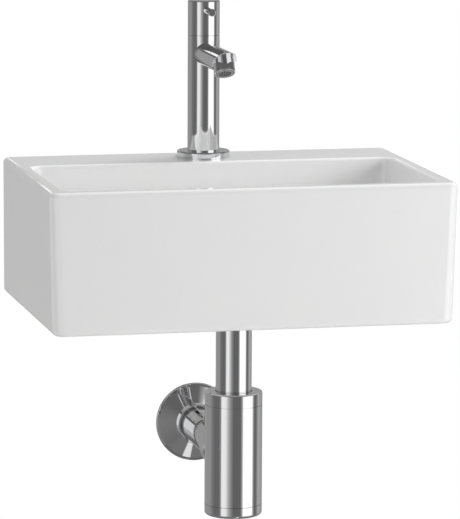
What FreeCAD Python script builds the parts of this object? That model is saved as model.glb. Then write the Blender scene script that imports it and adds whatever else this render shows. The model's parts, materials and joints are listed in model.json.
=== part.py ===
import FreeCAD, Part
import math
import os

# A wall hung cloakroom basin with its tap, waste and bottle trap. Millimetres, +Z up.
# The wall is the plane y = 0 and the basin stands out from it towards -Y.
# The origin lies on the wall, midway between the two wall bolts.

# ---- Basin ----
basin_width = 360.0
basin_depth = 250.0
basin_height = 124.0
rim_above_bolts = 55.0
side_lean = 3.0            # how far each side wall leans in at its lower front corner
front_lean = 0.5
back_corner_round = 8.0
back_ground_off = 0.3      # the fired back is ground flat by this much
front_corner_round = 8.0   # at the rim
front_foot_round = 10.0    # at the foot
outer_edge_round = 4.5
edge_round_share = 0.9     # the most that an edge round takes of a corner round beside it
mouth_edge_round = 3.0
rim_width = 13.5           # front and side rims
shelf_depth = 70.0         # tap shelf, wall to bowl
shelf_thickness = 15.0
bowl_depth = 85.0
bowl_corner_round = 12.0
bowl_wall_lean = 8.0
bowl_floor_round = 10.0
bowl_fall = 14.0           # the floor is a very shallow dish that falls from its ends to the waste
waste_forward = 8.0        # waste hole in front of the bowl's middle
floor_thickness = 14.0
bowl_back_wall = 10.0      # between the bowl and the chamber behind it, at the shelf
skirt_wall = 12.0
skirt_corner_round = 10.0

# ---- Wall bolts ----
bolt_spacing = 200.0
bolt_radius = 5.0          # over the machine thread
wood_thread_radius = 5.2   # over the coarse thread in the wall
bolt_in_wall = 60.0
bolt_in_basin = 34.0
bolt_tip_length = 8.0
bolt_waist_depth = 0.5     # plain waist that parts the wood thread from the machine thread
bolt_waist_length = 4.0
bolt_hole_radius = 7.5
bush_flange_cover = 4.5    # how far the bush's flange covers the ceramic round its hole
bush_flange_thickness = 2.5
bolt_washer_thickness = 2.0
bolt_nut_wall = 3.5
bolt_nut_height = 8.0

# ---- Tap: heights are above the rim ----
tap_to_wall = 34.0
tap_hole_radius = 17.5
tap_radius = 14.5
foot_cover = 6.5           # how far the foot plate covers the shelf round its hole
foot_height = 6.0
foot_edge_round = 1.2
base_seal_inset = 3.0
base_seal_thickness = 1.5
handle_joint_height = 111.4
handle_gap = 0.25
handle_length = 31.35
handle_edge_round = 1.0
handle_shell_wall = 2.2
lever_radius = 3.4
lever_below_top = 8.6
lever_reach = 35.7         # from the tap's axis to the lever's end
lever_seat_depth = 8.0     # how far the lever is screwed into the handle
lever_end_round = 0.5
grip_screw_radius = 2.5
grip_screw_above_joint = 12.6
grip_screw_key_flats = 2.5
grip_screw_key_depth = 3.0
spout_below_joint = 16.6   # spout axis below the joint line
spout_radius = 10.6
spout_wall = 5.0           # a drilled bar, so that the bore stays below the valve's shoulder
spout_end_round = 0.4
nozzle_tilt = 31.0         # from upright, with the outlet towards the user
nozzle_radius = 9.4
nozzle_length = 10.0       # from the spout's slanted end to the outlet
nozzle_wall = 1.2
nozzle_top_wall = 1.2      # between the aerator's room and the spout's bore
nozzle_way_radius = 3.5    # from the aerator's room up into the spout's bore
nozzle_way_length = 8.0
outlet_reach = 87.3        # from the tap's axis to the middle of the outlet
outlet_below_spout = 9.8
aerator_ring_height = 2.2
aerator_ring_round = 0.4
aerator_wall = 1.0
aerator_seat_thickness = 1.4
aerator_seat_width = 0.6   # the lip that the insert stands on
aerator_mouth_slant = 1.0  # how far the lip is turned off inside the outlet
aerator_hole_radius = 0.5
aerator_mesh_rings = 4
aerator_washer_thickness = 1.2
aerator_room_height = 6.2  # above the outlet

# ---- Tap: valve inside the body ----
inlet_bore = 5.5
valve_length = 24.0        # seat to shoulder
valve_wall = 4.5           # body wall round the valve
valve_seal_thickness = 2.0
water_groove_wall = 2.9    # body wall round the groove that leads the water to the spout
water_groove_length = 14.0
water_groove_below_shoulder = 2.0
cartridge_wall = 1.6
cartridge_floor = 1.6
valve_shoulder_below_joint = 7.4
valve_shoulder_wall = 2.5
valve_shoulder_thickness = 2.0
valve_nut_hole_radius = 5.5
valve_port_radius = 2.2
valve_port_offset = 4.0
disc_thickness = 3.0
window_width = 6.0
window_height = 8.0
spindle_radius = 4.0
spindle_head_height = 3.0
spindle_slot_height = 1.5  # water way across the underside of the head
drive_peg_radius = 1.2     # two pegs under the head that turn the disc
drive_peg_offset = 5.6
drive_peg_length = 1.5
spindle_ring_section = 1.2
spindle_ring_width = 2.0
spindle_ring_below_shoulder = 3.0
spindle_below_top = 13.0
spline_depth = 0.4
spline_count = 20

# ---- Tap: tail and fixings under the shelf ----
tail_radius = 10.478       # G 1/2 pipe thread, 20.955 mm over the crests
tail_bore = 6.5
tail_socket_depth = 12.0
tail_spare_thread = 14.0   # below the nut, for thicker shelves
tail_groove_depth = 1.2
tail_groove_width = 3.0
tail_inlet_length = 30.0   # free thread for the supply
shelf_seal_cover = 4.0     # how far the washers cover the shelf round its hole
shelf_seal_thickness = 3.0
shelf_washer_thickness = 2.0
shelf_nut_wall = 4.5
shelf_nut_height = 9.0

# ---- Waste ----
waste_hole_radius = 22.5
waste_flange_cover = 9.0   # how far the flanges cover the floor round the hole
waste_flange_thickness = 2.5
waste_flange_round = 1.0
waste_seat_depth = 3.0
waste_seat_gap = 1.5
waste_top_gasket_thickness = 1.0
waste_bottom_gasket_thickness = 3.0
strainer_skirt_gap = 0.7
strainer_skirt_wall = 1.5
strainer_skirt_end_gap = 3.0   # short of the floor's underside
strainer_hole_radius = 2.5
strainer_hole_round = 0.4
strainer_hole_rings = ((10.0, 8), (16.5, 13))   # ring radius and number of holes
waste_screw_radius = 4.0
waste_screw_head_radius = 6.5
waste_screw_head_height = 2.5
waste_screw_slot_width = 1.4
waste_screw_slot_depth = 1.2
waste_screw_end_gap = 3.5  # short of the boss's far end
waste_boss_radius = 7.0
waste_boss_height = 10.0
waste_arm_width = 5.0
waste_thread_radius = 20.955   # G 1 1/4 pipe thread, 41.91 mm over the crests
waste_bore = 17.6
waste_thread_length = 15.0
union_washer_thickness = 3.5
union_nut_wall = 4.0
union_nut_gap = 4.0        # below the waste's flange
union_nut_lip = 3.0

# ---- Trap ----
pipe_radius = 16.0         # 32 mm waste pipe
pipe_wall = 1.0
pipe_top_overlap = 6.0     # how far the tail pipe stands in the waste
trap_below_basin = 69.0    # bare tail pipe between the basin's foot and the trap
trap_radius = 25.6
trap_height = 111.7
trap_wall = 2.0
trap_top_round = 1.6
trap_foot_round = 3.0
cap_height = 12.0
cap_top_thickness = 4.0
cap_skirt_length = 11.0
cap_skirt_wall = 3.8
seam_gap = 0.3             # fine joint lines around the trap
seal_shelf_thickness = 2.5
glide_ring_thickness = 3.0
cone_seal_taper = 1.2
cleanout_height = 10.0
cleanout_floor = 3.0
cleanout_spigot_length = 9.0
cleanout_spigot_wall = 2.0
cleanout_seal_width = 1.2
cleanout_seal_thickness = 1.4
weir_wall = 1.2
weir_above_outlet_pipe_invert = 27.5
dip_above_floor = 8.7
outlet_drop = 60.0         # outlet axis below the trap's top
socket_wall = 1.8
socket_length = 20.0       # beyond the trap's side
outlet_stop_wall = 1.5     # shoulder that the outlet pipe stops on
outlet_pipe_setback = 6.0  # clear of that shoulder
outlet_seal_thickness = 4.0
outlet_nut_wall = 1.7
outlet_nut_length = 18.0
outlet_nut_lip = 2.5
outlet_nut_round = 0.8
outlet_in_wall = 40.0
wall_mark_depth = 0.3      # ring that marks how far the pipe goes into the wall
wall_mark_width = 1.0
rosette_radius = 36.6
rosette_depth = 16.0
rosette_rim_thickness = 3.2
rosette_rim_width = 2.6
rosette_collar_width = 2.6
rosette_collar_length = 9.0
rosette_sheet = 1.0
rosette_rim_round = 0.8
rosette_collar_round = 0.6
rosette_grip_thickness = 2.6

# ---- Clearances ----
thread_gap = 0.05          # radial, between screwed pieces
running_gap = 0.05         # radial, between pieces that turn or slide on each other
face_gap = 0.1             # between flat faces that turn on each other
loose_gap = 0.3            # between pieces of different bodies that only pass each other
hole_gap = 0.5             # radial, a plain hole over the pipe that goes through it
cut_spare = 1.0            # how far a cut runs past the surface it opens

# ---- Hexagon nuts: how their corners are turned off ----
nut_turn_off_share = 0.9
nut_turn_off_angle = 30.0

# ---- Places that follow from the sizes above ----
rim_z = rim_above_bolts
foot_z = rim_z - basin_height
half_width = basin_width / 2
bowl_front_y = -(basin_depth - rim_width)
bowl_back_y = -shelf_depth
waste_y = (bowl_front_y + bowl_back_y) / 2 - waste_forward
bowl_floor_z = rim_z - bowl_depth
floor_under_z = bowl_floor_z - floor_thickness
shelf_under_z = rim_z - shelf_thickness
chamber_front_y = -(shelf_depth - bowl_back_wall)
seat_z = bowl_floor_z - waste_seat_depth
edge_round = min(outer_edge_round, edge_round_share * min(back_corner_round, front_corner_round))
bush_flange_radius = bolt_hole_radius + bush_flange_cover
tap_y = -tap_to_wall
foot_radius = tap_hole_radius + foot_cover
foot_top_z = rim_z + foot_height
base_seal_radius = foot_radius - base_seal_inset
shelf_seal_radius = tap_hole_radius + shelf_seal_cover
joint_z = rim_z + handle_joint_height
handle_z = joint_z + handle_gap
tap_top_z = handle_z + handle_length
spout_z = joint_z - spout_below_joint
spout_bore = spout_radius - spout_wall
outlet_y = tap_y - outlet_reach
outlet_z = spout_z - outlet_below_spout
nozzle_sine = math.sin(math.radians(nozzle_tilt))
nozzle_cosine = math.cos(math.radians(nozzle_tilt))
aerator_thread_radius = nozzle_radius - nozzle_wall
aerator_top = aerator_room_height - aerator_washer_thickness
aerator_bore = aerator_thread_radius - aerator_wall
slant_length = 2 * spout_radius / nozzle_sine
bore_above_outlet = spout_z - spout_bore - outlet_z
spout_bore_end_y = outlet_y + (
    aerator_room_height + nozzle_top_wall - bore_above_outlet * nozzle_cosine) / nozzle_sine
valve_shoulder_z = joint_z - valve_shoulder_below_joint
valve_shoulder_radius = tap_radius - valve_shoulder_wall
valve_seat_z = valve_shoulder_z - valve_length
valve_bore = tap_radius - valve_wall
water_groove_radius = tap_radius - water_groove_wall
water_groove_top_z = valve_shoulder_z - water_groove_below_shoulder
cartridge_z = valve_seat_z + valve_seal_thickness
cartridge_radius = valve_bore - thread_gap
cartridge_bore = cartridge_radius - cartridge_wall
disc_radius = cartridge_bore - running_gap
fixed_disc_z = cartridge_z + cartridge_floor
turning_disc_z = fixed_disc_z + disc_thickness + face_gap
spindle_z = turning_disc_z + disc_thickness
spindle_ring_z = valve_shoulder_z - spindle_ring_below_shoulder
spindle_top_z = tap_top_z - spindle_below_top
grip_screw_z = joint_z + grip_screw_above_joint
lever_z = tap_top_z - lever_below_top
lever_root_y = tap_y - tap_radius + lever_seat_depth
shelf_nut_z = shelf_under_z - shelf_seal_thickness - shelf_washer_thickness - shelf_nut_height
tail_groove_z = shelf_nut_z - tail_spare_thread - tail_groove_width
tail_end_z = tail_groove_z - tail_inlet_length
waste_flange_radius = waste_hole_radius + waste_flange_cover
waste_flange_z = seat_z + waste_top_gasket_thickness
waste_top_z = waste_flange_z + waste_flange_thickness
strainer_skirt_radius = waste_hole_radius - strainer_skirt_gap
waste_under_z = floor_under_z - waste_bottom_gasket_thickness
waste_flange_low_z = waste_under_z - waste_flange_thickness
waste_boss_low_z = waste_under_z - waste_boss_height
waste_end_z = waste_flange_low_z - waste_thread_length
union_nut_z = waste_end_z - union_washer_thickness - union_nut_lip
union_nut_top_z = waste_flange_low_z - union_nut_gap
trap_top_z = foot_z - trap_below_basin
trap_foot_z = trap_top_z - trap_height
cap_seam_z = trap_top_z - cap_height
cleanout_seam_z = trap_foot_z + cleanout_height
body_top_z = cap_seam_z
body_foot_z = cleanout_seam_z + seam_gap
trap_bore = trap_radius - trap_wall
skirt_radius = trap_bore - thread_gap
gland_radius = skirt_radius - cap_skirt_wall
gland_top_z = trap_top_z - cap_top_thickness
seal_shelf_z = cap_seam_z - cap_skirt_length
trap_floor_z = trap_foot_z + cleanout_floor
dip_end_z = trap_floor_z + dip_above_floor
trap_outlet_z = trap_top_z - outlet_drop
pipe_bore = pipe_radius - pipe_wall
spigot_inner_radius = skirt_radius - cleanout_spigot_wall
weir_radius = spigot_inner_radius - thread_gap
weir_top_z = trap_outlet_z - pipe_bore + weir_above_outlet_pipe_invert
socket_bore = pipe_radius + running_gap
socket_radius = socket_bore + socket_wall
socket_end_y = waste_y + trap_radius + socket_length
outlet_stop_y = waste_y + trap_bore + outlet_stop_wall
outlet_pipe_y = outlet_stop_y + outlet_pipe_setback
outlet_nut_radius = socket_radius + thread_gap + outlet_nut_wall
outlet_nut_end_y = socket_end_y + outlet_seal_thickness + outlet_nut_lip
rosette_collar_radius = pipe_radius + rosette_collar_width
rosette_shoulder_y = rosette_collar_length - rosette_depth

# Directions and the point that turned shapes are made on
UP = FreeCAD.Vector(0, 0, 1)
ALONG_X = FreeCAD.Vector(1, 0, 0)
ORIGIN = FreeCAD.Vector(0, 0, 0)


# ---- Helpers ----
def rod(radius, low, high, x=0.0, y=0.0):
    """Upright cylinder between two heights."""
    return Part.makeCylinder(radius, high - low, FreeCAD.Vector(x, y, low), UP)


def tube(outer, inner, low, high, x=0.0, y=0.0):
    """Upright ring between two heights."""
    return rod(outer, low, high, x, y).cut(rod(inner, low, high, x, y))


def block(width, depth, low, high, x=0.0, y=0.0):
    """Upright box, centred on x and y."""
    corner = FreeCAD.Vector(x - width / 2, y - depth / 2, low)
    return Part.makeBox(width, depth, high - low, corner)


def turned(outline, x=0.0, y=0.0):
    """Solid turned about an upright axis from (radius, height) points."""
    points = [FreeCAD.Vector(radius, 0, height) for radius, height in outline]
    face = Part.Face(Part.makePolygon(points + points[:1]))
    solid = face.revolve(ORIGIN, UP, 360)
    solid.translate(FreeCAD.Vector(x, y, 0))
    return solid


def laid_along_y(solid, x=0.0, z=0.0):
    """Lays an upright solid made about the origin down, so that its height becomes y."""
    laid = solid.copy()
    laid.rotate(ORIGIN, ALONG_X, -90)
    laid.translate(FreeCAD.Vector(x, 0, z))
    return laid


def level_rod(radius, front, back, x=0.0, z=0.0):
    """Cylinder along Y."""
    return laid_along_y(rod(radius, front, back), x, z)


def at_nozzle(solid):
    """Leans an upright solid made about the origin as the nozzle leans, with its foot at the outlet."""
    leaned = solid.copy()
    leaned.rotate(ORIGIN, ALONG_X, -nozzle_tilt)
    leaned.translate(FreeCAD.Vector(0, outlet_y, outlet_z))
    return leaned


def hexagon(flats, low, high):
    """Upright hexagonal bar about the origin."""
    corner_radius = flats / math.sqrt(3)
    points = []
    for corner in range(7):
        angle = math.radians(60 * corner + 30)
        points.append(FreeCAD.Vector(corner_radius * math.cos(angle), corner_radius * math.sin(angle), low))
    return Part.Face(Part.makePolygon(points)).extrude(UP * (high - low))


def nut(thread_radius, wall, low, high, x=0.0, y=0.0):
    """Upright hexagon nut on a thread, with its corners turned off."""
    flats = 2 * (thread_radius + wall)
    corner_radius = flats / math.sqrt(3)
    turn_off = (corner_radius - flats / 2) * nut_turn_off_share
    drop = turn_off * math.tan(math.radians(nut_turn_off_angle))
    blank = turned([(0, low), (corner_radius - turn_off, low), (corner_radius, low + drop),
                    (corner_radius, high - drop), (corner_radius - turn_off, high), (0, high)])
    solid = hexagon(flats, low, high).common(blank).cut(rod(thread_radius + thread_gap, low, high))
    solid.translate(FreeCAD.Vector(x, y, 0))
    return solid


def rounded_outline(corners, radii, level):
    """Closed flat outline at one height: straight runs joined by an arc at every corner."""
    arcs = []
    count = len(corners)
    for place, radius in enumerate(radii):
        corner = FreeCAD.Vector(*corners[place], level)
        back = (FreeCAD.Vector(*corners[place - 1], level) - corner).normalize()
        on = (FreeCAD.Vector(*corners[(place + 1) % count], level) - corner).normalize()
        half_angle = back.getAngle(on) / 2
        reach = radius / math.tan(half_angle)
        inset = radius / math.sin(half_angle) - radius
        arcs.append((corner + back * reach, corner + (back + on).normalize() * inset, corner + on * reach))
    edges = []
    for place, (start, middle, end) in enumerate(arcs):
        edges.append(Part.Arc(start, middle, end).toShape())
        edges.append(Part.LineSegment(end, arcs[(place + 1) % count][0]).toShape())
    return Part.Wire(edges)


def prism(outline, low, high):
    """Upright solid on a flat outline drawn at its lower end."""
    return Part.Face(outline).extrude(UP * (high - low))


def box_corners(left, right, front, back):
    """The four corners of a plan rectangle, back left first, then round by the front."""
    return [(left, back), (left, front), (right, front), (right, back)]


def soften(solid, radius, wanted):
    """Rounds the edges that wanted() picks."""
    return solid.makeFillet(radius, [edge for edge in solid.Edges if wanted(edge)])


def at_height(level):
    """Picks the edges that lie flat at one height."""
    return lambda edge: max(abs(edge.BoundBox.ZMin - level), abs(edge.BoundBox.ZMax - level)) < 0.01


def ring_at(level, radius):
    """Picks the circle of one radius at one height."""
    flat = at_height(level)
    return lambda edge: flat(edge) and isinstance(edge.Curve, Part.Circle) and (
        abs(edge.Curve.Radius - radius) < 0.01)


# ---- Basin ----
def bowl_cavity():
    """The bowl's inside: steep walls, rounded corners and a floor that falls to the waste."""
    side = half_width - rim_width
    mouth = rounded_outline(box_corners(-side, side, bowl_front_y, bowl_back_y),
                            [bowl_corner_round] * 4, rim_z)
    low_side = side - bowl_wall_lean
    base = rounded_outline(box_corners(-low_side, low_side, bowl_front_y + bowl_wall_lean,
                                       bowl_back_y - bowl_wall_lean),
                           [bowl_corner_round] * 4, bowl_floor_z)
    walls = Part.makeLoft([mouth, base], True, True)
    dish_radius = (low_side ** 2 + bowl_fall ** 2) / (2 * bowl_fall)
    middle = FreeCAD.Vector(0, waste_y, bowl_floor_z + dish_radius)
    dish = Part.makeSphere(dish_radius, middle, ALONG_X)
    cavity = walls.common(dish)
    return soften(cavity, bowl_floor_round, lambda edge: edge.BoundBox.ZMax < rim_z - bowl_depth / 2)


def outer_block():
    """The basin before it is hollowed out: leaning sides, rounded edges and a back ground flat."""
    rim_rounds = [back_corner_round, front_corner_round, front_corner_round, back_corner_round]
    foot_rounds = [back_corner_round, front_foot_round, front_foot_round, back_corner_round]
    top = rounded_outline(box_corners(-half_width, half_width, -basin_depth, back_ground_off),
                          rim_rounds, rim_z)
    foot_side = half_width - side_lean
    foot_front = -(basin_depth - front_lean)
    foot_corners = [(-half_width, back_ground_off), (-foot_side, foot_front),
                    (foot_side, foot_front), (half_width, back_ground_off)]
    foot = rounded_outline(foot_corners, foot_rounds, foot_z)
    solid = Part.makeLoft([foot, top], True, True)
    solid = soften(solid, edge_round, at_height(rim_z))
    solid = soften(solid, edge_round, at_height(foot_z))
    return solid.cut(block(basin_width, 2 * back_ground_off, foot_z, rim_z, 0, back_ground_off))


def skirt_recess():
    """The open underside, below the bowl's floor."""
    side = half_width - side_lean - skirt_wall
    front = -(basin_depth - front_lean - skirt_wall)
    outline = rounded_outline(box_corners(-side, side, front, -skirt_wall), [skirt_corner_round] * 4, foot_z)
    return prism(outline, foot_z, floor_under_z)


def fixing_chamber():
    """The space behind the bowl and under the shelf, for the tap's tail and the wall bolts."""
    side = half_width - side_lean - skirt_wall
    outline = rounded_outline(box_corners(-side, side, chamber_front_y, -skirt_wall),
                              [skirt_corner_round] * 4, foot_z)
    return prism(outline, foot_z, shelf_under_z)


def at_mouth(edge):
    """Picks the edges where the bowl's walls meet the rim."""
    box = edge.BoundBox
    inside = min(half_width - rim_width - box.XMax, half_width - rim_width + box.XMin,
                 bowl_back_y - box.YMax, box.YMin - bowl_front_y)
    return at_height(rim_z)(edge) and inside > -cut_spare


def basin():
    """The ceramic body with its bowl, tap shelf, holes and hollow underside."""
    solid = soften(outer_block().cut(bowl_cavity()), mouth_edge_round, at_mouth)
    solid = solid.cut(skirt_recess()).cut(fixing_chamber())
    solid = solid.cut(rod(tap_hole_radius, shelf_under_z, rim_z, 0, tap_y))
    solid = solid.cut(rod(waste_hole_radius, floor_under_z, bowl_floor_z, 0, waste_y))
    solid = solid.cut(rod(waste_flange_radius + waste_seat_gap, seat_z, rim_z, 0, waste_y))
    for side in (-1, 1):
        solid = solid.cut(level_rod(bolt_hole_radius, -skirt_wall, 0, side * bolt_spacing / 2, 0))
    return solid


# ---- Wall bolts: each pair is made once per side ----
def wall_bolt(x):
    """Hanger bolt: wood thread with a point in the wall, machine thread in the basin."""
    waist = bolt_radius - bolt_waist_depth
    tip = bolt_in_wall - bolt_tip_length
    outline = [(0, -bolt_in_basin), (waist, -bolt_in_basin),
               (bolt_radius, bolt_waist_depth - bolt_in_basin), (bolt_radius, -bolt_waist_length),
               (waist, -bolt_waist_length), (waist, 0), (wood_thread_radius, 0),
               (wood_thread_radius, tip), (0, bolt_in_wall)]
    return laid_along_y(turned(outline), x)


def bolt_bush(x):
    """Flanged plastic bush that keeps the steel off the ceramic."""
    inner = bolt_radius + loose_gap
    sleeve = tube(bolt_hole_radius - thread_gap, inner, -skirt_wall, 0)
    flange = tube(bush_flange_radius, inner, -skirt_wall - bush_flange_thickness, -skirt_wall)
    return laid_along_y(sleeve.fuse(flange), x)


def bolt_washer(x):
    face = -skirt_wall - bush_flange_thickness
    ring = tube(bush_flange_radius, bolt_radius + loose_gap, face - bolt_washer_thickness, face)
    return laid_along_y(ring, x)


def bolt_nut(x):
    face = -skirt_wall - bush_flange_thickness - bolt_washer_thickness
    return laid_along_y(nut(bolt_radius, bolt_nut_wall, face - bolt_nut_height, face), x)


# ---- Tap body and foot ----
def base_ring():
    """Round foot plate with a recess below for its seal."""
    plate = tube(foot_radius, tail_radius + hole_gap, rim_z, foot_top_z, 0, tap_y)
    plate = soften(plate, foot_edge_round, ring_at(foot_top_z, foot_radius))
    return plate.cut(rod(base_seal_radius, rim_z, rim_z + base_seal_thickness, 0, tap_y))


def base_seal():
    return tube(base_seal_radius, tail_radius + hole_gap, rim_z, rim_z + base_seal_thickness, 0, tap_y)


def spout():
    """Level bar whose end is cut on a slant, square to the nozzle that stands on it."""
    slant = block(2 * (spout_radius + cut_spare), 2 * slant_length, nozzle_length - slant_length,
                  nozzle_length)
    bar = level_rod(spout_radius, outlet_y - slant_length / 2, tap_y, 0, spout_z).cut(at_nozzle(slant))
    return soften(bar, spout_end_round, lambda edge: isinstance(edge.Curve, Part.Ellipse))


def tap_body():
    """Upright body with its spout and nozzle, bored for the inlet, the valve and the water way."""
    nozzle = at_nozzle(rod(nozzle_radius, aerator_ring_height, nozzle_length + nozzle_wall))
    solid = rod(tap_radius, foot_top_z, joint_z, 0, tap_y).fuse([spout(), nozzle])
    socket_top = foot_top_z + tail_socket_depth
    way_top = aerator_room_height + nozzle_way_length
    hollows = [
        rod(tail_radius + thread_gap, foot_top_z, socket_top, 0, tap_y),
        rod(inlet_bore, socket_top, valve_seat_z, 0, tap_y),
        rod(valve_bore, valve_seat_z, joint_z, 0, tap_y),
        rod(water_groove_radius, water_groove_top_z - water_groove_length, water_groove_top_z, 0, tap_y),
        rod(valve_shoulder_radius, valve_shoulder_z, joint_z, 0, tap_y),
        level_rod(spout_bore, spout_bore_end_y, tap_y, 0, spout_z),
        at_nozzle(rod(aerator_thread_radius + thread_gap, aerator_ring_height, aerator_room_height)),
        at_nozzle(rod(nozzle_way_radius, aerator_room_height, way_top)),
    ]
    for hollow in hollows:
        solid = solid.cut(hollow)
    return solid


def tap_tail():
    """Threaded inlet tail, with a groove that parts the clamped thread from the supply's thread."""
    top = foot_top_z + tail_socket_depth
    groove = tube(tail_radius + cut_spare, tail_radius - tail_groove_depth, tail_groove_z,
                  tail_groove_z + tail_groove_width, 0, tap_y)
    return tube(tail_radius, tail_bore, tail_end_z, top, 0, tap_y).cut(groove)


def deck_washer_rubber():
    low = shelf_under_z - shelf_seal_thickness
    return tube(shelf_seal_radius, tail_radius + hole_gap, low, shelf_under_z, 0, tap_y)


def deck_washer_metal():
    high = shelf_under_z - shelf_seal_thickness
    return tube(shelf_seal_radius, tail_radius + hole_gap, high - shelf_washer_thickness, high, 0, tap_y)


def deck_nut():
    return nut(tail_radius, shelf_nut_wall, shelf_nut_z, shelf_nut_z + shelf_nut_height, 0, tap_y)


# ---- Quarter turn valve ----
def ports(low, high, centre_angle):
    """Two round water ports on opposite sides of the valve's axis."""
    holes = []
    for turn in (0, 180):
        angle = math.radians(centre_angle + turn)
        holes.append(rod(valve_port_radius, low, high, valve_port_offset * math.cos(angle),
                         tap_y + valve_port_offset * math.sin(angle)))
    return holes[0].fuse(holes[1])


def cartridge_seal():
    return tube(cartridge_radius, inlet_bore, valve_seat_z, cartridge_z, 0, tap_y)


def cartridge_body():
    """Valve barrel with a ported floor, side windows, a neck for the spindle and a shoulder."""
    top = valve_shoulder_z + valve_shoulder_thickness
    solid = rod(cartridge_radius, cartridge_z, top, 0, tap_y)
    solid = solid.fuse(rod(valve_shoulder_radius - thread_gap, valve_shoulder_z, top, 0, tap_y))
    room_top = spindle_z + spindle_head_height + loose_gap
    solid = solid.cut(rod(cartridge_bore, fixed_disc_z, room_top, 0, tap_y))
    solid = solid.cut(rod(spindle_radius + running_gap, room_top, top, 0, tap_y))
    solid = solid.cut(ports(cartridge_z, fixed_disc_z, 0))
    return solid.cut(block(2 * (cartridge_radius + cut_spare), window_width, turning_disc_z,
                           turning_disc_z + window_height, 0, tap_y))


def fixed_disc():
    solid = rod(disc_radius, fixed_disc_z, fixed_disc_z + disc_thickness, 0, tap_y)
    return solid.cut(ports(fixed_disc_z, fixed_disc_z + disc_thickness, 0))


def drive_pegs(radius):
    """The two pegs under the spindle's head, or their holes in the disc."""
    low = spindle_z - drive_peg_length
    pegs = [rod(radius, low, spindle_z, side * drive_peg_offset, tap_y) for side in (-1, 1)]
    return pegs[0].fuse(pegs[1])


def turning_disc():
    """Moving ceramic disc: its two ports meet the fixed ones when the handle is turned a quarter."""
    solid = rod(disc_radius, turning_disc_z, spindle_z, 0, tap_y)
    solid = solid.cut(ports(turning_disc_z, spindle_z, 90))
    return solid.cut(drive_pegs(drive_peg_radius + thread_gap))


def spindle():
    """Head with pegs that drive the disc, shaft with a ring groove, and splines for the handle."""
    slot_top = spindle_z + spindle_slot_height
    head = rod(disc_radius - loose_gap, spindle_z, spindle_z + spindle_head_height, 0, tap_y)
    head = head.cut(block(window_width, 2 * disc_radius, spindle_z, slot_top, 0, tap_y))
    head = head.fuse(drive_pegs(drive_peg_radius))
    shaft = rod(spindle_radius, slot_top, spindle_top_z, 0, tap_y)
    groove = tube(spindle_radius + cut_spare, spindle_radius - spindle_ring_section,
                  spindle_ring_z, spindle_ring_z + spindle_ring_width, 0, tap_y)
    return head.fuse(shaft).cut(groove).cut(spline_grooves(spindle_radius))


def spline_grooves(radius):
    """Fine upright grooves around the top of the spindle."""
    grooves = []
    for place in range(spline_count):
        angle = 2 * math.pi * place / spline_count
        grooves.append(rod(spline_depth, joint_z + handle_gap, spindle_top_z,
                           radius * math.cos(angle), tap_y + radius * math.sin(angle)))
    return Part.makeCompound(grooves)


def spindle_ring():
    return tube(spindle_radius, spindle_radius - spindle_ring_section,
                spindle_ring_z, spindle_ring_z + spindle_ring_width, 0, tap_y)


def cartridge_nut():
    low = valve_shoulder_z + valve_shoulder_thickness
    return tube(valve_shoulder_radius - thread_gap, valve_nut_hole_radius, low, joint_z, 0, tap_y)


# ---- Handle ----
def handle():
    """Upper cylinder: hollow below, a splined bore, and holes for the lever and the grip screw."""
    solid = soften(rod(tap_radius, handle_z, tap_top_z, 0, tap_y), handle_edge_round, at_height(tap_top_z))
    solid = solid.cut(rod(spindle_radius + thread_gap, handle_z, spindle_top_z, 0, tap_y))
    hollow_top = grip_screw_z - grip_screw_radius - handle_shell_wall
    hollow = tube(tap_radius - handle_shell_wall, spindle_radius + handle_shell_wall,
                  handle_z, hollow_top, 0, tap_y)
    solid = solid.cut(hollow)
    solid = solid.cut(level_rod(lever_radius + thread_gap, tap_y - tap_radius, lever_root_y, 0, lever_z))
    return solid.cut(level_rod(grip_screw_radius + thread_gap, tap_y, tap_y + tap_radius, 0, grip_screw_z))


def lever_pin():
    """Round lever screwed into the front of the handle."""
    pin = rod(lever_radius, tap_y - lever_reach, lever_root_y)
    return laid_along_y(soften(pin, lever_end_round, at_height(tap_y - lever_reach)), 0, lever_z)


def handle_screw():
    """Grub screw in the back of the handle that grips the spindle."""
    inner = tap_y + spindle_radius
    outer = tap_y + tap_radius - grip_screw_radius
    screw = rod(grip_screw_radius, inner, outer)
    socket = hexagon(grip_screw_key_flats, outer - grip_screw_key_depth, outer)
    return laid_along_y(screw.cut(socket), 0, grip_screw_z)


# ---- Aerator ----
def aerator_housing():
    """Outlet ring screwed up into the nozzle."""
    ring = rod(nozzle_radius, 0, aerator_ring_height)
    ring = soften(ring, aerator_ring_round, at_height(0))
    ring = soften(ring, aerator_ring_round, at_height(aerator_ring_height))
    solid = ring.fuse(rod(aerator_thread_radius, aerator_ring_height, aerator_top))
    mouth = aerator_bore - aerator_seat_width
    solid = solid.cut(turned([(0, 0), (mouth + aerator_mouth_slant, 0), (mouth, aerator_mouth_slant),
                              (mouth, aerator_seat_thickness), (0, aerator_seat_thickness)]))
    return at_nozzle(solid.cut(rod(aerator_bore, aerator_seat_thickness, aerator_top)))


def aerator_insert():
    """Plastic insert with rings of fine holes."""
    low = aerator_seat_thickness
    radius = aerator_bore - thread_gap
    solid = rod(radius, low, aerator_top)
    holes = []
    pitch = radius / (aerator_mesh_rings + 0.5)
    for ring in range(1, aerator_mesh_rings + 1):
        for place in range(6 * ring):
            angle = 2 * math.pi * place / (6 * ring)
            holes.append(rod(aerator_hole_radius, low, aerator_top, ring * pitch * math.cos(angle),
                             ring * pitch * math.sin(angle)))
    return at_nozzle(solid.cut(Part.makeCompound(holes)))


def aerator_washer():
    return at_nozzle(tube(aerator_thread_radius, aerator_bore, aerator_top, aerator_room_height))


# ---- Waste ----
def waste_top_gasket():
    outer = waste_flange_radius - waste_flange_round
    return tube(outer, waste_hole_radius, seat_z, waste_flange_z, 0, waste_y)


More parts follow.
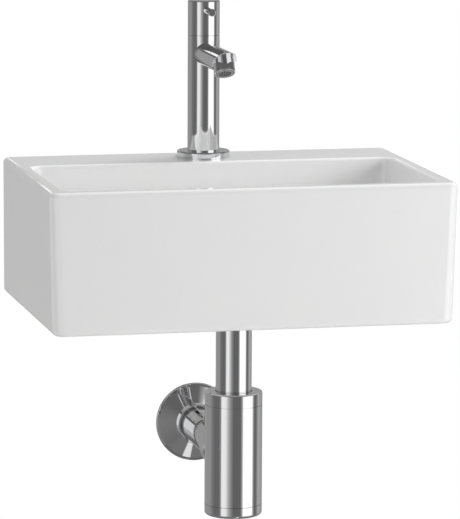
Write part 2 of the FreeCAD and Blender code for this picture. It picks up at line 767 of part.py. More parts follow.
def waste_strainer():
    """Round strainer plate with a skirt that centres it in the basin's hole."""
    plate = rod(waste_flange_radius, waste_flange_z, waste_top_z, 0, waste_y)
    plate = soften(plate, waste_flange_round, at_height(waste_top_z))
    skirt = tube(strainer_skirt_radius, strainer_skirt_radius - strainer_skirt_wall,
                 floor_under_z + strainer_skirt_end_gap, waste_flange_z, 0, waste_y)
    holes = [rod(waste_screw_radius + thread_gap, waste_flange_z, waste_top_z, 0, waste_y)]
    for ring_radius, count in strainer_hole_rings:
        for place in range(count):
            angle = 2 * math.pi * place / count
            holes.append(rod(strainer_hole_radius, waste_flange_z, waste_top_z, ring_radius * math.cos(angle),
                             waste_y + ring_radius * math.sin(angle)))
    solid = plate.fuse(skirt).cut(Part.makeCompound(holes))
    return soften(solid, strainer_hole_round, ring_at(waste_top_z, strainer_hole_radius))


def waste_screw():
    """Round headed slotted screw that draws the strainer and the waste body together."""
    head_top = waste_top_z + waste_screw_head_height
    head = rod(waste_screw_head_radius, waste_top_z, head_top, 0, waste_y)
    head = soften(head, waste_screw_head_height / 2, at_height(head_top))
    slot = block(2 * waste_screw_head_radius, waste_screw_slot_width, head_top - waste_screw_slot_depth,
                 head_top, 0, waste_y)
    shank = rod(waste_screw_radius, waste_boss_low_z + waste_screw_end_gap, waste_top_z, 0, waste_y)
    return head.fuse(shank).cut(slot)


def waste_bottom_gasket():
    return tube(waste_flange_radius, waste_bore, waste_under_z, floor_under_z, 0, waste_y)


def waste_body():
    """Flanged pipe below the basin, with a threaded boss on two arms for the screw."""
    shell = rod(waste_flange_radius, waste_flange_low_z, waste_under_z, 0, waste_y)
    shell = shell.fuse(rod(waste_thread_radius, waste_end_z, waste_flange_low_z, 0, waste_y))
    shell = shell.cut(rod(waste_bore, waste_end_z, waste_under_z, 0, waste_y))
    arm_span = waste_bore + waste_thread_radius
    cross = block(arm_span, waste_arm_width, waste_boss_low_z, waste_under_z, 0, waste_y)
    boss = rod(waste_boss_radius, waste_boss_low_z, waste_under_z, 0, waste_y).fuse(cross)
    screw_hole = rod(waste_screw_radius + thread_gap, waste_boss_low_z, waste_under_z, 0, waste_y)
    return shell.fuse(boss).cut(screw_hole)


def union_washer():
    return tube(waste_thread_radius, pipe_radius + thread_gap, waste_end_z - union_washer_thickness,
                waste_end_z, 0, waste_y)


def union_nut():
    """Nut that presses the washer between the waste and the tail pipe."""
    threaded = nut(waste_thread_radius, union_nut_wall, union_nut_z, union_nut_top_z, 0, waste_y)
    lip = tube(waste_thread_radius + union_nut_wall / 2, pipe_radius + hole_gap, union_nut_z,
               union_nut_z + union_nut_lip, 0, waste_y)
    return threaded.fuse(lip)


# ---- Trap ----
def tail_pipe():
    return tube(pipe_radius, pipe_bore, dip_end_z, waste_end_z + pipe_top_overlap, 0, waste_y)


def trap_cap():
    """Upper end of the trap: a top plate, a visible ring and a threaded skirt around the gland."""
    solid = rod(trap_radius, cap_seam_z + seam_gap, trap_top_z, 0, waste_y)
    solid = soften(solid, trap_top_round, at_height(trap_top_z))
    solid = solid.fuse(rod(skirt_radius, seal_shelf_z, cap_seam_z + seam_gap, 0, waste_y))
    solid = solid.cut(rod(gland_radius, seal_shelf_z, gland_top_z, 0, waste_y))
    return solid.cut(rod(pipe_radius + hole_gap, gland_top_z, trap_top_z, 0, waste_y))


def glide_ring():
    """Hard ring between the cap and the rubber, so that the rubber isn't wrung when the cap turns."""
    return tube(gland_radius - running_gap, pipe_radius + running_gap,
                gland_top_z - face_gap - glide_ring_thickness, gland_top_z - face_gap, 0, waste_y)


def cone_seal():
    """Tapered rubber ring that grips the tail pipe."""
    high = gland_top_z - face_gap - glide_ring_thickness
    low = seal_shelf_z + face_gap
    inner = pipe_radius + running_gap
    outer = gland_radius - running_gap
    return turned([(inner, low), (outer - cone_seal_taper, low), (outer, (low + high) / 2),
                   (outer, high), (inner, high)], 0, waste_y)


def trap_body():
    """Trap cylinder with a shelf for the gland's seal and a socket for the outlet pipe."""
    shell = tube(trap_radius, trap_bore, body_foot_z, body_top_z, 0, waste_y)
    shelf = tube(trap_bore, pipe_radius + hole_gap, seal_shelf_z - seal_shelf_thickness, seal_shelf_z,
                 0, waste_y)
    socket = level_rod(socket_radius, waste_y, socket_end_y, 0, trap_outlet_z)
    socket = socket.cut(rod(trap_bore, body_foot_z, body_top_z, 0, waste_y))
    solid = shell.fuse([shelf, socket])
    solid = solid.cut(level_rod(pipe_bore, waste_y, socket_end_y, 0, trap_outlet_z))
    return solid.cut(level_rod(socket_bore, outlet_stop_y, socket_end_y, 0, trap_outlet_z))


def cleanout_cap():
    """Lower end of the trap: a cup with a rounded foot and a threaded spigot."""
    solid = rod(trap_radius, trap_foot_z, cleanout_seam_z, 0, waste_y)
    solid = soften(solid, trap_foot_round, at_height(trap_foot_z))
    spigot_top = cleanout_seam_z + cleanout_spigot_length
    solid = solid.fuse(rod(skirt_radius, cleanout_seam_z, spigot_top, 0, waste_y))
    solid = solid.cut(rod(spigot_inner_radius, trap_floor_z, spigot_top, 0, waste_y))
    seal_low = cleanout_seam_z - cleanout_seal_thickness
    return solid.cut(tube(skirt_radius + cleanout_seal_width, skirt_radius, seal_low, cleanout_seam_z,
                          0, waste_y))


def cleanout_seal():
    """Rubber ring in the groove round the foot of the spigot."""
    low = cleanout_seam_z - cleanout_seal_thickness
    return tube(skirt_radius + cleanout_seal_width - running_gap, skirt_radius + running_gap,
                low + face_gap, cleanout_seam_z + face_gap, 0, waste_y)


def weir_tube():
    """Inner wall that the water rises inside before it runs over to the outlet."""
    return tube(weir_radius, weir_radius - weir_wall, trap_floor_z, weir_top_z, 0, waste_y)


# ---- Outlet to the wall ----
def outlet_pipe():
    pipe = tube(pipe_radius, pipe_bore, outlet_pipe_y, outlet_in_wall)
    mark = tube(pipe_radius + cut_spare, pipe_radius - wall_mark_depth, 0, wall_mark_width)
    return laid_along_y(pipe.cut(mark), 0, trap_outlet_z)


def outlet_seal():
    ring = tube(socket_radius, pipe_radius + running_gap, socket_end_y, socket_end_y + outlet_seal_thickness)
    return laid_along_y(ring, 0, trap_outlet_z)


def outlet_nut():
    """Round nut that presses the outlet seal onto the pipe."""
    front = outlet_nut_end_y - outlet_nut_length
    solid = soften(rod(outlet_nut_radius, front, outlet_nut_end_y), outlet_nut_round,
                   at_height(outlet_nut_end_y))
    solid = solid.cut(rod(socket_radius + thread_gap, front, outlet_nut_end_y - outlet_nut_lip))
    return laid_along_y(solid.cut(rod(pipe_radius + hole_gap, front, outlet_nut_end_y)), 0, trap_outlet_z)


def wall_rosette():
    """Thin cone shaped cover plate with a rolled rim at the wall and a collar round the pipe."""
    hole = pipe_radius + loose_gap
    rim = rosette_radius - rosette_rim_width
    inner_rim = rosette_radius - rosette_sheet
    outer = [(hole, -rosette_depth), (rosette_collar_radius, -rosette_depth),
             (rosette_collar_radius, rosette_shoulder_y), (rim, -rosette_rim_thickness),
             (rosette_radius, -rosette_rim_thickness), (rosette_radius, 0), (inner_rim, 0),
             (inner_rim, rosette_sheet - rosette_rim_thickness), (rim, rosette_sheet - rosette_rim_thickness),
             (rosette_collar_radius, rosette_shoulder_y + rosette_sheet),
             (hole, rosette_shoulder_y + rosette_sheet)]
    solid = turned(outer)
    solid = soften(solid, rosette_rim_round, ring_at(-rosette_rim_thickness, rosette_radius))
    solid = soften(solid, rosette_collar_round, ring_at(-rosette_depth, rosette_collar_radius))
    return laid_along_y(solid, 0, trap_outlet_z)


def rosette_grip():
    """Rubber ring inside the rosette that grips the pipe."""
    front = rosette_shoulder_y + rosette_sheet
    ring = tube(rosette_collar_radius, pipe_radius + running_gap, front, front + rosette_grip_thickness)
    return laid_along_y(ring, 0, trap_outlet_z)


nodes = {
    "basin": basin(),
    "base_ring": base_ring(),
    "base_seal": base_seal(),
    "tap_body": tap_body(),
    "tap_tail": tap_tail(),
    "deck_washer_rubber": deck_washer_rubber(),
    "deck_washer_metal": deck_washer_metal(),
    "deck_nut": deck_nut(),
    "cartridge_seal": cartridge_seal(),
    "cartridge_body": cartridge_body(),
    "cartridge_nut": cartridge_nut(),
    "fixed_disc": fixed_disc(),
    "turning_disc": turning_disc(),
    "spindle": spindle(),
    "spindle_ring": spindle_ring(),
    "handle": handle(),
    "lever_pin": lever_pin(),
    "handle_screw": handle_screw(),
    "aerator_housing": aerator_housing(),
    "aerator_insert": aerator_insert(),
    "aerator_washer": aerator_washer(),
    "waste_strainer": waste_strainer(),
    "waste_screw": waste_screw(),
    "waste_top_gasket": waste_top_gasket(),
    "waste_bottom_gasket": waste_bottom_gasket(),
    "waste_body": waste_body(),
    "union_washer": union_washer(),
    "union_nut": union_nut(),
    "tail_pipe": tail_pipe(),
    "trap_cap": trap_cap(),
    "glide_ring": glide_ring(),
    "cone_seal": cone_seal(),
    "trap_body": trap_body(),
    "cleanout_cap": cleanout_cap(),
    "cleanout_seal": cleanout_seal(),
    "weir_tube": weir_tube(),
    "outlet_pipe": outlet_pipe(),
    "outlet_seal": outlet_seal(),
    "outlet_nut": outlet_nut(),
    "wall_rosette": wall_rosette(),
    "rosette_grip": rosette_grip(),
}
for side, sign in (("left", -1), ("right", 1)):
    bolt_x = sign * bolt_spacing / 2
    nodes["wall_bolt_" + side] = wall_bolt(bolt_x)
    nodes["bolt_bush_" + side] = bolt_bush(bolt_x)
    nodes["bolt_washer_" + side] = bolt_washer(bolt_x)
    nodes["bolt_nut_" + side] = bolt_nut(bolt_x)

os.makedirs("parts", exist_ok=True)
for name, shape in nodes.items():
    shape.exportStep("parts/" + name + ".step")
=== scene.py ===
"""Wall hung basin with its tap and bottle trap: finishes, fine detail and a plain studio.

Lengths are in metres. The wall is the plane y = 0, and x = 0 is the middle of the basin.
"""

import json
import math

import bmesh
import bpy
from mathutils import Matrix, Vector

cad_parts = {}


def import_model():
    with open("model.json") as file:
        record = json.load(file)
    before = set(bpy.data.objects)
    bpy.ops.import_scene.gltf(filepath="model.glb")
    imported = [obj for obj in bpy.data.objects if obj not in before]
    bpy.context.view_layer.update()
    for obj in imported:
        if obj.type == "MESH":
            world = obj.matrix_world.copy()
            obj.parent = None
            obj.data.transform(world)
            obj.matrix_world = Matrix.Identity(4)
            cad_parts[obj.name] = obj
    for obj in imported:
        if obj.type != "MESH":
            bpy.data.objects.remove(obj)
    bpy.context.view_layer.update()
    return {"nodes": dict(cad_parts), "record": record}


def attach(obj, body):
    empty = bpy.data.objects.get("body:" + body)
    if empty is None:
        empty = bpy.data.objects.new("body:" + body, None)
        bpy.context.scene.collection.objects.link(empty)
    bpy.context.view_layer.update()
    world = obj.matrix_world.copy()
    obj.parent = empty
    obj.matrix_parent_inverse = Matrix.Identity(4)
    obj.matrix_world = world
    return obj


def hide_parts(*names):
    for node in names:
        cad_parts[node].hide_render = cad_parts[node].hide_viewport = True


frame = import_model()
nodes = frame["nodes"]


# ---- Shader expressions ----
class Level:
    """A number that changes over a surface. Sums and products of these add Math nodes."""

    def __init__(self, finish, socket):
        self.finish = finish
        self.socket = socket

    def maths(self, operation, *terms):
        settings = {"operation": operation}
        return self.finish.node("ShaderNodeMath", settings, dict(enumerate(terms)))

    def __add__(self, other):
        return self.maths("ADD", self, other)

    def __radd__(self, other):
        return self.maths("ADD", other, self)

    def __sub__(self, other):
        return self.maths("SUBTRACT", self, other)

    def __rsub__(self, other):
        return self.maths("SUBTRACT", other, self)

    def __mul__(self, other):
        return self.maths("MULTIPLY", self, other)

    def __rmul__(self, other):
        return self.maths("MULTIPLY", other, self)

    def __truediv__(self, other):
        return self.maths("DIVIDE", self, other)

    def __rtruediv__(self, other):
        return self.maths("DIVIDE", other, self)

    def __abs__(self):
        return self.maths("ABSOLUTE", self)

    def most(self, other):
        """The larger of two numbers."""
        return self.maths("MAXIMUM", self, other)

    def over(self, low, high):
        """0 below low, 1 above high and smooth between; the other way round where low is larger."""
        return self.finish.node("ShaderNodeMapRange", {"interpolation_type": "SMOOTHSTEP"},
                                {"Value": self, "From Min": low, "From Max": high})

    def above(self, edge, soft):
        """1 above an edge that fades by soft to each side."""
        return self.over(edge - soft, edge + soft)

    def below(self, edge, soft):
        """1 below an edge that fades by soft to each side."""
        return self.over(edge + soft, edge - soft)

    def stops(self, places):
        """A colour for this number, from (place, colour) stops."""
        return self.finish.node("ShaderNodeValToRGB", {"color_ramp": places}, {"Fac": self})


class Finish:
    """A material under construction."""

    def __init__(self, name):
        self.material = bpy.data.materials.new(name)
        self.material.use_nodes = True
        self.tree = self.material.node_tree
        self.tree.nodes.clear()
        self.place = self.node("ShaderNodeTexCoord", output="Object")

    def node(self, kind, settings=(), sockets=(), output=0):
        """Adds a node, sets it, fills or links its sockets and gives one of its outputs."""
        made = self.tree.nodes.new(kind)
        for name, value in dict(settings).items():
            if name == "color_ramp":
                ramp = made.color_ramp.elements
                while len(ramp) < len(value):
                    ramp.new(1.0)
                for stop, (place, colour) in zip(ramp, value):
                    stop.position = place
                    stop.color = colour
            else:
                setattr(made, name, value)
        for name, value in dict(sockets).items():
            if isinstance(value, Level):
                self.tree.links.new(value.socket, made.inputs[name])
            elif value is not None:
                made.inputs[name].default_value = value
        return Level(self, made.outputs[output]) if made.outputs else None

    def axis(self, which):
        """One of the object's own x, y and z, in metres."""
        return self.node("ShaderNodeSeparateXYZ", (), {"Vector": self.place}, which)

    def moved(self, scale, turn=(0, 0, 0)):
        """The object's own coordinates, turned and stretched."""
        return self.node("ShaderNodeMapping", (),
                         {"Vector": self.place, "Scale": scale, "Rotation": turn})

    def noise(self, scale, detail=2.0, rough=0.5, place=None):
        """Cloudy noise from 0 to 1, with scale lumps to the metre."""
        return self.node("ShaderNodeTexNoise", (), {"Vector": place or self.place, "Scale": scale,
                                                    "Detail": detail, "Roughness": rough})

    def cells(self, scale):
        """Distance to the nearest of many scattered points."""
        return self.node("ShaderNodeTexVoronoi", (), {"Vector": self.place, "Scale": scale},
                         "Distance")

    def mix(self, share, first, second):
        """Colour between two colours."""
        return self.node("ShaderNodeMix", {"data_type": "RGBA"}, {0: share, 6: first, 7: second}, 2)

    def bump(self, height, depth, under=None):
        """A normal from a height of depth metres, on top of another normal where there is one."""
        return self.node("ShaderNodeBump", (), {"Height": height, "Strength": 1.0,
                                                "Distance": depth, "Normal": under})

    def glow(self, colour, strength):
        """Light of its own."""
        return self.node("ShaderNodeEmission", (), {"Color": colour, "Strength": strength})

    def ended(self, shader):
        """The material, with this shader as its surface."""
        self.node("ShaderNodeOutputMaterial", (), {"Surface": shader})
        return self.material

    def surface(self, **sockets):
        """The material with a plain surface; a name's underscores are spaces."""
        named = {name.replace("_", " "): value for name, value in sockets.items()}
        return self.ended(self.node("ShaderNodeBsdfPrincipled", (), named))


def rgb(red, green, blue):
    return (red, green, blue, 1.0)


def grey(level):
    return rgb(level, level, level)


# ---- Finishes ----
def glazed_white():
    """White glaze over fireclay: a faint swell, a finer orange peel and bare clay where ground."""
    f = Finish("white glaze")
    x, y, z = f.axis("X"), f.axis("Y"), f.axis("Z")
    ground_back, ground_foot = -0.0008, -0.06875
    skirt_side, skirt_front, skirt_back = 0.173, -0.244, -0.011
    shelf_underside, bowl_underside, bowl_back = 0.04035, -0.04335, -0.0607
    swell = f.noise(9.0, 1.0)
    peel = f.noise(320.0, 1.0)
    cloud = f.noise(26.0, 3.0, 0.6)
    clay_grain = f.noise(900.0, 4.0, 0.7)
    pits = f.cells(260.0).over(0.16, 0.06) * f.noise(70.0).over(0.6, 0.66)
    ground = y.above(ground_back, 0.0004).most(z.below(ground_foot, 0.00015))
    within_skirt = (abs(x).below(skirt_side, 0.0005) * y.above(skirt_front, 0.0005)
                    * y.below(skirt_back, 0.0005))
    in_bowl = z.above(bowl_underside, 0.00015) * y.below(bowl_back, 0.0002)
    underneath = within_skirt * z.below(shelf_underside, 0.00015) * (1 - in_bowl)
    thin = underneath * (0.35 + cloud.over(0.42, 0.6) * 0.3)
    bare = ground.most(thin)
    glaze = f.mix(cloud, rgb(0.825, 0.828, 0.828), rgb(0.845, 0.845, 0.84))
    clay = f.mix(clay_grain, rgb(0.70, 0.68, 0.63), rgb(0.80, 0.78, 0.74))
    speckled = f.mix(bare * pits, clay, rgb(0.45, 0.38, 0.3))
    soft = f.bump(swell, 0.00035)
    skin = f.bump(peel, 0.000006, soft)
    coarse = f.bump((clay_grain - pits * 0.6) * bare, 0.0002, skin)
    return f.surface(Base_Color=f.mix(bare, glaze, speckled),
                     Roughness=0.06 + bare * 0.7 + cloud * 0.03,
                     Coat_Weight=(1 - bare) * 0.4, Coat_Roughness=0.03, Normal=coarse, IOR=1.52)


def chrome():
    """Bright chrome plate with faint wipe marks and a few dried water spots."""
    f = Finish("bright chrome")
    wipe = f.noise(60.0, 3.0, 0.6, f.moved(scale=(1, 1, 0.25)))
    hairs = f.noise(700.0, 2.0, 0.6, f.moved(scale=(0.04, 0.04, 1), turn=(0.3, 0.2, 0)))
    drops = f.cells(85.0)
    rings = drops.over(0.2, 0.26) * drops.over(0.34, 0.28)
    spots = rings * f.noise(30.0, 1.0).over(0.58, 0.64)
    tone = f.mix(spots * 0.35, rgb(0.72, 0.72, 0.73), rgb(0.62, 0.63, 0.63))
    roughness = 0.03 + wipe * 0.025 + hairs.over(0.62, 0.8) * 0.03 + spots * 0.12
    return f.surface(Base_Color=tone, Metallic=1.0, Roughness=roughness,
                     Normal=f.bump(f.noise(45.0, 1.0), 0.00002))


def turned_brass():
    """Brass as it leaves the lathe: rings of fine tool marks and patches of tarnish."""
    f = Finish("turned brass")
    tarnish = f.noise(90.0, 4.0, 0.65)
    rings = f.noise(1400.0, 3.0, 0.6, f.moved(scale=(0.02, 0.02, 1)))
    fresh = f.mix(rings, rgb(0.68, 0.49, 0.22), rgb(0.78, 0.60, 0.32))
    return f.surface(Base_Color=f.mix(tarnish.over(0.5, 0.72) * 0.6, fresh, rgb(0.42, 0.29, 0.13)),
                     Metallic=1.0, Roughness=0.22 + tarnish * 0.2 + rings * 0.08,
                     Normal=f.bump(rings, 0.00003))


def zinc_steel():
    """Zinc plate: bright, with the cloudy spangle and dull patches of the plating bath."""
    f = Finish("zinc plated steel")
    bloom = f.noise(400.0, 4.0, 0.65)
    patches = f.noise(70.0, 3.0, 0.6)
    bright = f.mix(bloom, rgb(0.55, 0.55, 0.54), rgb(0.68, 0.68, 0.67))
    return f.surface(Base_Color=f.mix(patches.over(0.48, 0.7) * 0.5, bright, rgb(0.46, 0.47, 0.47)),
                     Metallic=1.0, Roughness=0.24 + bloom * 0.16 + patches * 0.1,
                     Normal=f.bump(bloom, 0.00001))


def black_rubber():
    """Moulded rubber: fine grain and a grey bloom of chalk."""
    f = Finish("black rubber")
    chalk = f.noise(300.0, 4.0, 0.6)
    dust = f.noise(60.0, 3.0, 0.7).over(0.5, 0.75)
    black = f.mix(chalk, rgb(0.035, 0.035, 0.036), rgb(0.055, 0.055, 0.054))
    return f.surface(Base_Color=f.mix(dust * 0.4, black, rgb(0.13, 0.13, 0.125)),
                     Roughness=0.6 + chalk * 0.2, Normal=f.bump(f.noise(1500.0, 3.0), 0.00002))


def moulded_plastic(name, dark, pale):
    """Moulded plastic with faint flow marks and a spark-eroded grain."""
    f = Finish(name)
    grain = f.noise(1200.0, 2.0)
    flow = f.noise(60.0, 2.0, 0.5, f.moved(scale=(1, 1, 0.3)))
    return f.surface(Base_Color=f.mix(flow, dark, pale), Roughness=0.3 + grain * 0.14 + flow * 0.06,
                     Normal=f.bump(grain, 0.00001))


def lapped_ceramic():
    """Ceramic of the valve's discs: dense, with crossing marks of the lapping plate."""
    f = Finish("lapped ceramic")
    grain = f.noise(900.0, 3.0)
    lap = f.noise(600.0, 2.0, 0.5, f.moved(scale=(1, 0.08, 1), turn=(0, 0, 0.6)))
    return f.surface(Base_Color=f.mix(grain, rgb(0.83, 0.82, 0.78), rgb(0.87, 0.86, 0.82)),
                     Roughness=0.14 + grain * 0.1 + lap * 0.1, Normal=f.bump(lap, 0.000004))


finishes = {
    "glaze": glazed_white(),
    "chrome": chrome(),
    "brass": turned_brass(),
    "steel": zinc_steel(),
    "rubber": black_rubber(),
    "valve_ceramic": lapped_ceramic(),
    "plastic": moulded_plastic("white plastic", rgb(0.82, 0.82, 0.8), rgb(0.87, 0.87, 0.85)),
    "grey_plastic": moulded_plastic("grey plastic", rgb(0.20, 0.20, 0.205), rgb(0.24, 0.24, 0.245)),
}
for part in frame["record"]["subparts"]:
    for material_slot in nodes[part["node"]].material_slots:
        material_slot.material = finishes[part["material_slot"]]


# ---- Meshes under construction ----
def piece_of(name, made, material):
    """Turns a mesh under construction into an object of one material."""
    mesh = bpy.data.meshes.new(name)
    made.to_mesh(mesh)
    made.free()
    mesh.materials.append(material)
    piece = bpy.data.objects.new(name, mesh)
    bpy.context.scene.collection.objects.link(piece)
    return piece


def join(made, other):
    """Adds one mesh under construction to another."""
    carried = bpy.data.meshes.new("carried")
    other.to_mesh(carried)
    other.free()
    made.from_mesh(carried)
    bpy.data.meshes.remove(carried)


def turned_about_x(place, degrees):
    """A turn about the x axis, and then a move to a place."""
    return Matrix.Translation(place) @ Matrix.Rotation(math.radians(degrees), 4, "X")


def open_edges(made):
    return [edge for edge in made.edges if edge.is_boundary]


def spun_ring(outline):
    """Upright ring turned from a closed (radius, height) outline."""
    made = bmesh.new()
    points = [made.verts.new((radius, 0, height)) for radius, height in outline]
    lines = [made.edges.new((points[i - 1], points[i])) for i in range(len(points))]
    bmesh.ops.spin(made, geom=points + lines, cent=(0, 0, 0), axis=(0, 0, 1), dvec=(0, 0, 0),
                   angle=2 * math.pi, steps=96, use_merge=True, use_duplicate=False)
    return made


def threaded_rod(crest, depth, pitch, low, high, flat, steps):
    """Upright rod with a helical thread: one pitch of profile, spun up the rod and cut level.

    The crest is a radius, flat is half of the crest's share of the pitch, and steps are to a turn.
    """
    made = bmesh.new()
    start = low - 1.5 * pitch
    outline = [(crest - depth, 0), (crest, 0.5 - flat), (crest, 0.5 + flat), (crest - depth, 1)]
    points = [made.verts.new((radius, 0, start + share * pitch)) for radius, share in outline]
    lines = [made.edges.new(pair) for pair in zip(points, points[1:])]
    turns = math.ceil((high - start) / pitch) + 2
    bmesh.ops.spin(made, geom=points + lines, cent=(0, 0, 0), axis=(0, 0, 1),
                   dvec=(0, 0, pitch / steps), angle=2 * math.pi * turns, steps=steps * turns,
                   use_merge=False, use_duplicate=False)
    bmesh.ops.remove_doubles(made, verts=made.verts, dist=0.000004)
    for level, upward in ((low, False), (high, True)):
        bmesh.ops.bisect_plane(made, geom=made.verts[:] + made.edges[:] + made.faces[:],
                               dist=0.000001, plane_co=(0, 0, level), plane_no=(0, 0, 1),
                               clear_outer=upward, clear_inner=not upward)
        rim = [edge for edge in open_edges(made)
               if all(abs(vert.co.z - level) < 0.00001 for vert in edge.verts)]
        bmesh.ops.edgeloop_fill(made, edges=rim)
    return made


# ---- New pieces ----
def new_piece(name, made, replaced, finish):
    """A piece that stands for a solid and rides where it rode."""
    bmesh.ops.recalc_face_normals(made, faces=made.faces)
    piece = piece_of(name, made, finishes[finish])
    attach(piece, "basin")
    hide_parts(replaced)


def wall_bolt(side, x):
    """Hanger bolt: wood thread that runs out to a point, plain waist and fine machine thread."""
    wood_start, wood_end = 0.0, 0.0597
    machine_start, machine_end = -0.034, -0.004
    tip, point_length = 0.0602, 0.0095
    waist_radius, waist_overlap = 0.0045, 0.0002
    made = threaded_rod(crest=0.0052, depth=0.0012, pitch=0.0045, low=wood_start, high=wood_end,
                        flat=0.06, steps=36)
    for vert in made.verts:
        share = min(1.0, (tip - vert.co.z) / point_length)
        vert.co.x *= share
        vert.co.y *= share
    join(made, threaded_rod(crest=0.005, depth=0.0008, pitch=0.0015, low=machine_start,
                            high=machine_end, flat=0.08, steps=28))
    waist = bmesh.new()
    bmesh.ops.create_cone(waist, cap_ends=True, segments=48,
                          radius1=waist_radius, radius2=waist_radius,
                          depth=wood_start - machine_end + 2 * waist_overlap,
                          matrix=Matrix.Translation((0, 0, (wood_start + machine_end) / 2)))
    join(made, waist)
    bmesh.ops.transform(made, matrix=turned_about_x((x, 0, 0), -90), verts=made.verts)
    new_piece("bolt_" + side, made, "wall_bolt_" + side, "steel")


def aerator_grid():
    """Honeycomb that breaks up the water, in a flat rim that covers the outlet's lip."""
    outlet_place, outlet_lean = (0, -0.1213, 0.140), -31
    across, half_wall = 0.00155, 0.00016
    rows = 4
    cell_depth, skirt_height = 0.0028, 0.003
    rim_bore, rim_radius, rim_edge, rim_height = 0.0056, 0.0087, 0.0084, 0.0003
    sleeve_bore, sleeve_waist, sleeve_radius = 0.0053, 0.0065, 0.0071
    sleeve_step, sleeve_height = 0.0014, 0.005
    made = bmesh.new()
    for row in range(-rows, rows + 1):
        last = 2 * rows - abs(row)
        for place in range(last + 1):
            middle = ((place - last / 2) * across, row * across * math.sqrt(3) / 2, 0)
            bmesh.ops.create_circle(made, cap_ends=True, segments=6, radius=across / math.sqrt(3),
                                    matrix=Matrix.Translation(middle))
    bmesh.ops.remove_doubles(made, verts=made.verts, dist=0.00002)
    cells = made.faces[:]
    bmesh.ops.inset_individual(made, faces=cells, thickness=half_wall)
    wells = bmesh.ops.extrude_discrete_faces(made, faces=cells)["faces"]
    deep = list({vert for face in wells for vert in face.verts})
    bmesh.ops.translate(made, vec=(0, 0, cell_depth), verts=deep)
    walls = bmesh.ops.extrude_edge_only(made, edges=open_edges(made))["geom"]
    lifted = [item for item in walls if isinstance(item, bmesh.types.BMVert)]
    bmesh.ops.translate(made, vec=(0, 0, skirt_height), verts=lifted)
    bmesh.ops.edgeloop_fill(made, edges=open_edges(made))
    join(made, spun_ring([(rim_bore, -rim_height), (rim_edge, -rim_height),
                          (rim_radius, -rim_height / 2), (rim_radius, 0), (rim_bore, 0)]))
    join(made, spun_ring([(sleeve_bore, 0), (sleeve_waist, 0), (sleeve_waist, sleeve_step),
                          (sleeve_radius, sleeve_step), (sleeve_radius, sleeve_height),
                          (sleeve_bore, sleeve_height)]))
    # Extruding and spinning give faces in any order, so they are put in the same one each run.
    slant = Vector((1, math.sqrt(2), math.sqrt(3)))
    made.faces.sort(key=lambda face: face.calc_center_median().dot(slant))
    bmesh.ops.transform(made, matrix=turned_about_x(outlet_place, outlet_lean), verts=made.verts)
    new_piece("aerator_grid", made, "aerator_insert", "grey_plastic")


bolt_reach = 0.1  # from the basin's middle
wall_bolt("left", -bolt_reach)
wall_bolt("right", bolt_reach)
aerator_grid()


# ---- Studio ----
floor_level = -0.795
camera_yaw = math.radians(12.957)
camera_pitch = math.radians(9.023)
camera_roll = math.radians(0.262)
camera_distance = 3.320872
camera_right, camera_up = 0.009879, -0.024640  # shifts that centre the picture
camera_lens = 3700  # in pixels of the picture
picture_height = 519
sensor = 36  # in mm


def floor():
    """Pale floor that keeps the object's shadow and turns white further out."""
    f = Finish("pale floor")
    reach = f.node("ShaderNodeVectorMath", {"operation": "LENGTH"}, {0: f.place}, "Value")
    plain = f.node("ShaderNodeBsdfDiffuse", (), {"Color": grey(0.82)})
    white = f.glow(grey(1), 1.0)
    seen = f.node("ShaderNodeLightPath", (), (), "Is Camera Ray")
    shader = f.node("ShaderNodeMixShader", (), {0: seen * reach.over(0.4, 1.2), 1: plain, 2: white})
    made = bmesh.new()
    bmesh.ops.create_circle(made, cap_ends=True, segments=96, radius=30.0)
    piece = piece_of("floor", made, f.ended(shader))
    piece.location.z = floor_level


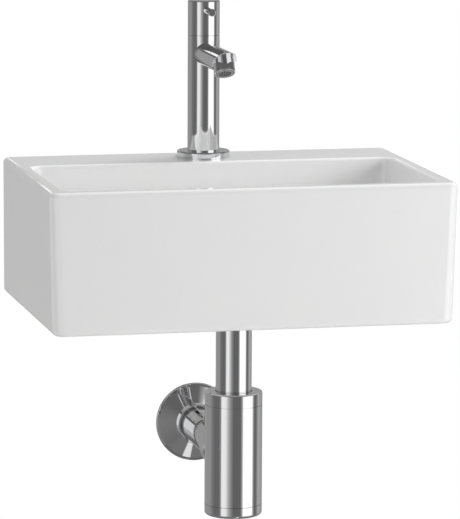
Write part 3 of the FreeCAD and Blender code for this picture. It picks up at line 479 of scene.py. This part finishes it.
def reflected_walls():
    """Studio that only shiny surfaces see: soft boxes, grey screens, a dark roof, a grey floor."""
    radius, depth = 2.2, 3.7
    above_floor = 0.01
    brightest = 2.0  # a ramp's colours end at 1, so they hold each level as a share of this

    def shade(level):
        return grey(level / brightest)

    # (degrees round from the camera's side, brightness)
    bands = [(-180, 0.37), (-104, 0.36), (-96, 0.28), (-87, 0.215), (-78, 0.172), (-58, 0.172),
             (-51, 0.3), (-45, 1.14), (-28, 1.05), (-23, 0.72), (-16, 0.47), (-7, 0.28),
             (1, 0.155), (29, 0.165), (35, 0.5), (41, 1.5), (78, 1.45), (84, 0.45), (91, 0.17),
             (97, 0.165), (105, 0.25), (114, 0.5), (129, 0.46), (180, 0.37)]
    # (share of the wall's height, brightness)
    layers = [(0, 0.37), (0.322, 0.37), (0.327, 0.15), (0.358, 0.15), (0.366, 1.3), (0.386, 1.3),
              (0.394, 0.3), (1, 0.3)]
    f = Finish("studio walls")
    x, y, height = f.axis("X"), f.axis("Y"), f.axis("Z")
    turn = f.node("ShaderNodeMath", {"operation": "ARCTAN2"}, {0: x, 1: y * -1.0})
    wrapped = f.node("ShaderNodeMath", {"operation": "WRAP"},
                     {0: turn + camera_yaw, 1: math.pi, 2: -math.pi})
    around = (wrapped / (2 * math.pi) + 0.5).stops(
        [((angle + 180) / 360, shade(level)) for angle, level in bands])
    backdrop = ((height + depth / 2) / depth).stops(
        [(share, shade(level)) for share, level in layers])
    roof = height.over(-0.62, -0.42)
    behind = abs(wrapped).over(2.35, 2.45)
    ground = height.over(0.02 - depth / 2, 0.01 - depth / 2)
    runner = wrapped.over(0.27, 0.3) * wrapped.over(0.46, 0.43)
    outer = (x * x + y * y).over(0.5, 1.1)
    near = f.mix(runner, shade(0.22), shade(1.0))
    far = f.mix(0.45, around, shade(0.22))
    walls = f.mix(behind, f.mix(roof, around, shade(0.15)), backdrop)
    tone = f.mix(ground, walls, f.mix(outer, near, far))
    made = bmesh.new()
    bmesh.ops.create_cone(made, cap_ends=True, segments=96, radius1=radius, radius2=radius,
                          depth=depth)
    piece = piece_of("studio_walls", made, f.ended(f.glow(tone, brightest)))
    piece.location = (0, -0.1, floor_level + depth / 2 + above_floor)
    piece.visible_camera = False
    piece.visible_diffuse = False
    piece.visible_shadow = False


def world():
    """White to the eye, to metal and to glaze, and dimmer as light on the object."""
    made = bpy.data.worlds.new("studio")
    made.use_nodes = True
    tree = made.node_tree
    tree.nodes.clear()
    paths = tree.nodes.new("ShaderNodeLightPath")
    strength = tree.nodes.new("ShaderNodeMix")
    light = tree.nodes.new("ShaderNodeBackground")
    end = tree.nodes.new("ShaderNodeOutputWorld")
    strength.inputs[2].default_value = 1.0  # to every other ray
    strength.inputs[3].default_value = 0.4  # to a diffuse ray
    light.inputs["Color"].default_value = grey(1)
    tree.links.new(paths.outputs["Is Diffuse Ray"], strength.inputs[0])
    tree.links.new(strength.outputs[0], light.inputs["Strength"])
    tree.links.new(light.outputs[0], end.inputs["Surface"])
    bpy.context.scene.world = made


def lamp(name, place, aim, size, power):
    """Soft box that lights the object and isn't itself seen in it."""
    light = bpy.data.lights.new(name, "AREA")
    light.shape = "RECTANGLE"
    light.size, light.size_y = size
    light.energy = power
    made = bpy.data.objects.new(name, light)
    made.location = place
    made.rotation_euler = (Vector(aim) - Vector(place)).to_track_quat("-Z", "Y").to_euler()
    made.visible_glossy = False
    bpy.context.scene.collection.objects.link(made)


def camera():
    """Camera a little to the left of the basin and above it, as the photograph was taken."""
    aim = Vector((0, -0.100, -0.005))
    back = Vector((-math.sin(camera_yaw) * math.cos(camera_pitch),
                   -math.cos(camera_yaw) * math.cos(camera_pitch), math.sin(camera_pitch)))
    level = Vector((math.cos(camera_yaw), -math.sin(camera_yaw), 0))
    upright = back.cross(level)
    right = math.cos(camera_roll) * level + math.sin(camera_roll) * upright
    up = -math.sin(camera_roll) * level + math.cos(camera_roll) * upright
    data = bpy.data.cameras.new("camera")
    data.lens = camera_lens * sensor / picture_height
    data.sensor_width = sensor
    made = bpy.data.objects.new("camera", data)
    place = aim + camera_right * right + camera_up * up + camera_distance * back
    turn = Matrix((right, up, back)).transposed().to_4x4()
    made.matrix_world = Matrix.Translation(place) @ turn
    bpy.context.scene.collection.objects.link(made)
    bpy.context.scene.camera = made


floor()
reflected_walls()
world()
lamp("key", (1.3, -1.6, 0.35), (0, -0.2, 0), (1.0, 0.7), 20.5)
lamp("side", (-2.6, -0.3, 0.6), (0, -0.1, 0), (1.2, 1.2), 18)
lamp("over", (1.0, 0.8, 1.9), (0, -0.1, 0), (1.6, 1.4), 52)
camera()
bpy.context.scene.view_settings.view_transform = "Standard"
